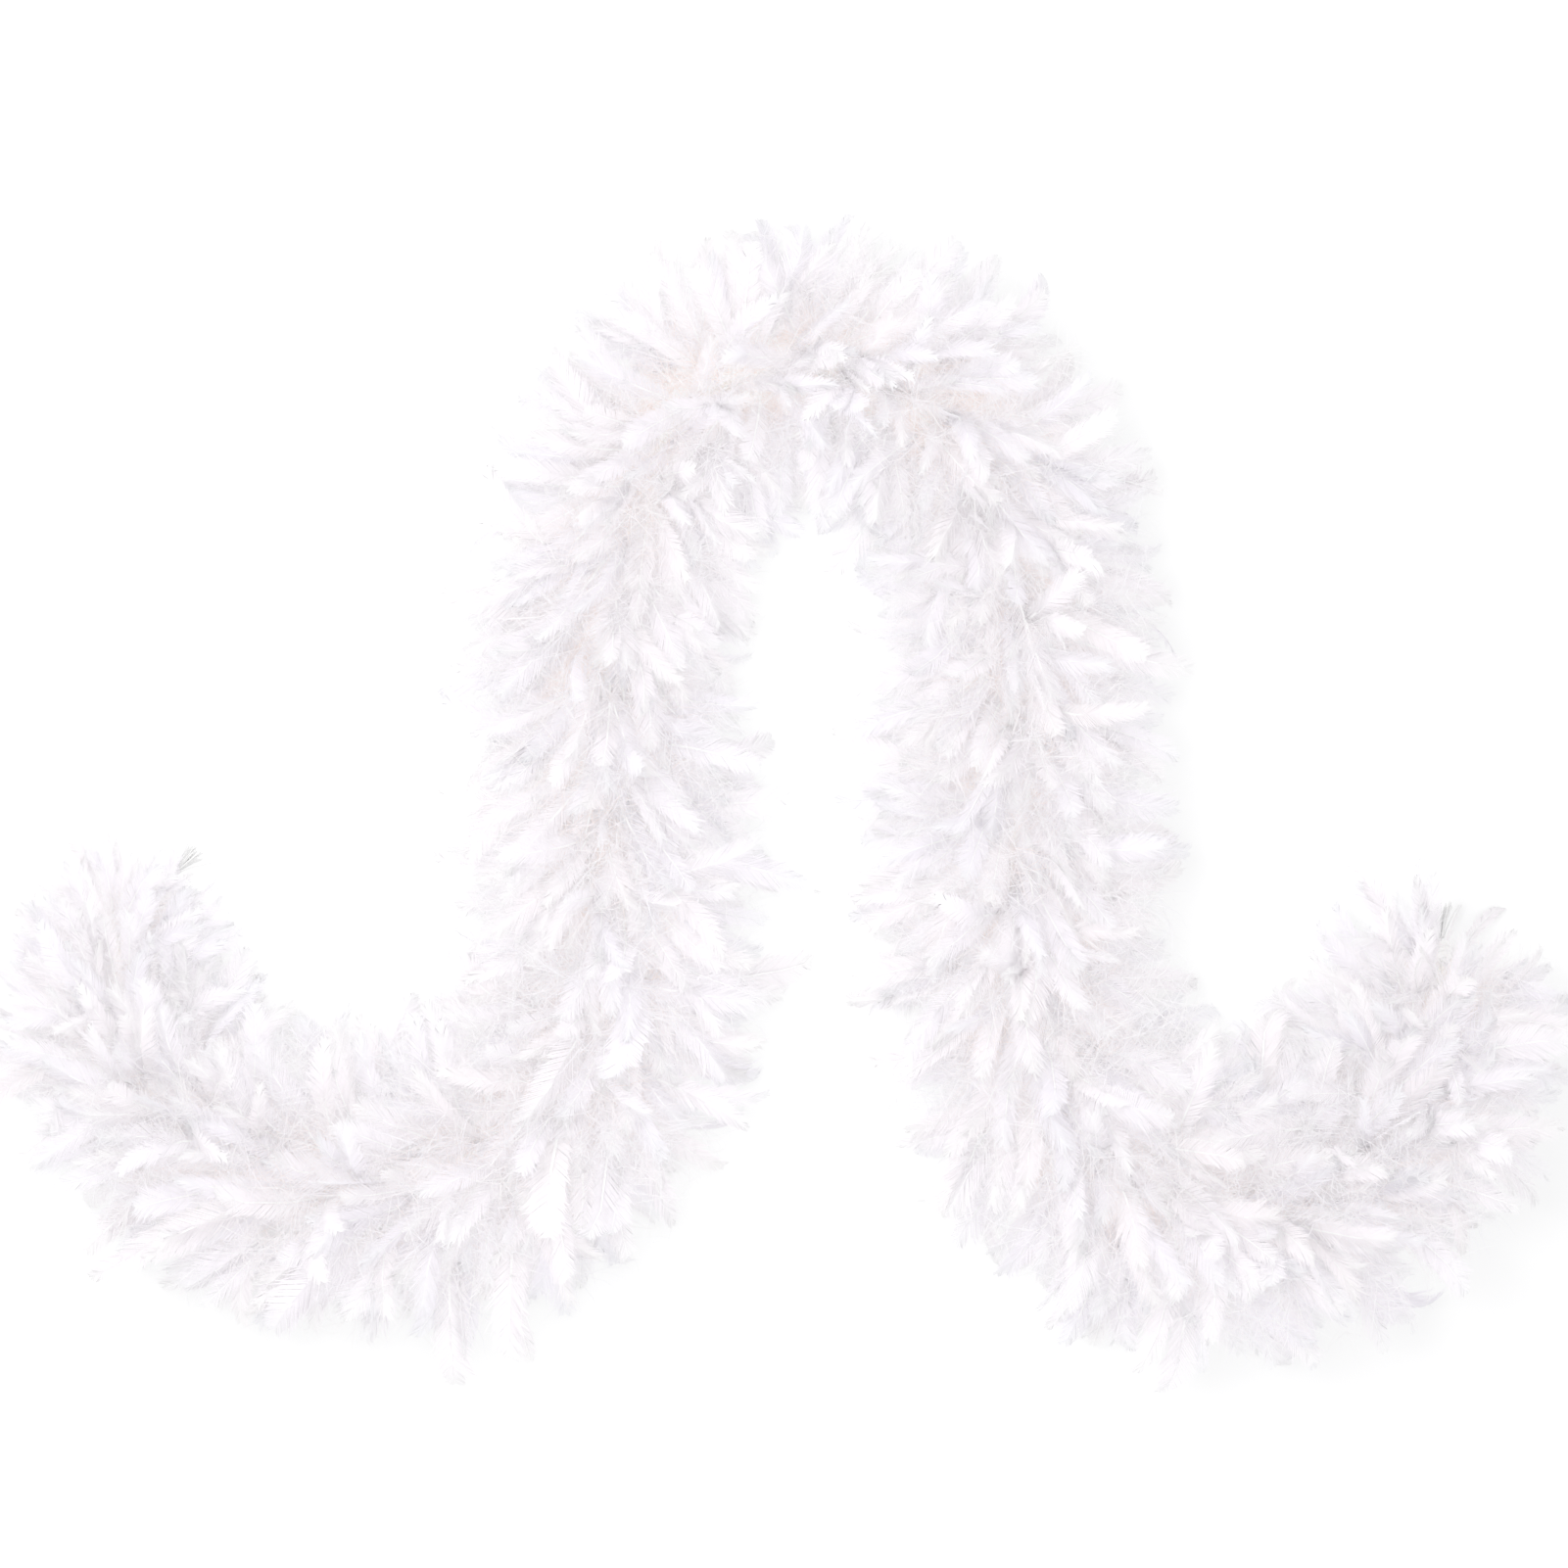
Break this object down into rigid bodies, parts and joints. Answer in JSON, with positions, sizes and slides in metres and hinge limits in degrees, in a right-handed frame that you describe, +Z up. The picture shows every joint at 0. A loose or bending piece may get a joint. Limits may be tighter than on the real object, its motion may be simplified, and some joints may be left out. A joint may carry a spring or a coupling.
{
  "type": "feather boa",
  "caption": "Fluffy white feather boa on a cotton core cord, laid out as a horseshoe with its two tails swept outwards, flat on a table.",
  "frame": {"origin": "on the table, under the middle of the whole boa as it lies", "axes": "+X from the left tail to the right tail, +Y from the tails towards the arch, +Z up from the table"},
  "size_m": [0.9268, 0.6596, 0.1215],
  "materials": {
    "feather": "soft matt feather, faintly translucent",
    "quill": "horny cream quill butts bound with thread",
    "cotton": "twisted matt cotton yarn"
  },
  "bodies": {
    "left_end": {"core_cord_left_end": "cotton", "plumage_01": "feather", "quill_binding_01": "quill", "plumage_02": "feather", "quill_binding_02": "quill", "plumage_03": "feather", "quill_binding_03": "quill", "end_knot_left": "cotton", "yarn_fray_left": "cotton"},
    "left_sweep": {"core_cord_left_sweep": "cotton", "plumage_04": "feather", "quill_binding_04": "quill", "plumage_05": "feather", "quill_binding_05": "quill", "plumage_06": "feather", "quill_binding_06": "quill"},
    "left_drape": {"core_cord_left_drape": "cotton", "plumage_07": "feather", "quill_binding_07": "quill", "plumage_08": "feather", "quill_binding_08": "quill", "plumage_09": "feather", "quill_binding_09": "quill", "plumage_10": "feather", "quill_binding_10": "quill"},
    "arch": {"core_cord_arch": "cotton", "plumage_11": "feather", "quill_binding_11": "quill", "plumage_12": "feather", "quill_binding_12": "quill", "plumage_13": "feather", "quill_binding_13": "quill", "plumage_14": "feather", "quill_binding_14": "quill", "plumage_15": "feather", "quill_binding_15": "quill"},
    "right_drape": {"core_cord_right_drape": "cotton", "plumage_16": "feather", "quill_binding_16": "quill", "plumage_17": "feather", "quill_binding_17": "quill", "plumage_18": "feather", "quill_binding_18": "quill", "plumage_19": "feather", "quill_binding_19": "quill"},
    "right_sweep": {"core_cord_right_sweep": "cotton", "plumage_20": "feather", "quill_binding_20": "quill", "plumage_21": "feather", "quill_binding_21": "quill", "plumage_22": "feather", "quill_binding_22": "quill"},
    "right_end": {"core_cord_right_end": "cotton", "plumage_23": "feather", "quill_binding_23": "quill", "plumage_24": "feather", "quill_binding_24": "quill", "end_knot_right": "cotton", "yarn_fray_right": "cotton"}
  },
  "joints": [
    {"name": "left_shoulder", "type": "hinge", "parent": "arch", "child": "left_drape", "pos_m": [-0.09785, 0.13638, 0.045], "axis": [0, 0, -1], "range_deg": [-5, 30], "deforming": ["plumage_10", "plumage_11"]},
    {"name": "left_knee", "type": "hinge", "parent": "left_drape", "child": "left_sweep", "pos_m": [-0.1159, -0.15823, 0.045], "axis": [0, 0, 1], "range_deg": [-10, 45], "deforming": ["plumage_06", "plumage_07"]},
    {"name": "left_wrist", "type": "hinge", "parent": "left_sweep", "child": "left_end", "pos_m": [-0.30608, -0.21884, 0.045], "axis": [0, 0, 1], "range_deg": [-15, 40], "deforming": ["plumage_03", "plumage_04"]},
    {"name": "right_shoulder", "type": "hinge", "parent": "arch", "child": "right_drape", "pos_m": [0.13734, 0.12998, 0.045], "axis": [0, 0, 1], "range_deg": [-5, 30], "deforming": ["plumage_15", "plumage_16"]},
    {"name": "right_knee", "type": "hinge", "parent": "right_drape", "child": "right_sweep", "pos_m": [0.16086, -0.16396, 0.045], "axis": [0, 0, -1], "range_deg": [-10, 45], "deforming": ["plumage_19", "plumage_20"]},
    {"name": "right_wrist", "type": "hinge", "parent": "right_sweep", "child": "right_end", "pos_m": [0.34154, -0.21865, 0.045], "axis": [0, 0, -1], "range_deg": [-15, 40], "deforming": ["plumage_22", "plumage_23"]}
  ]
}
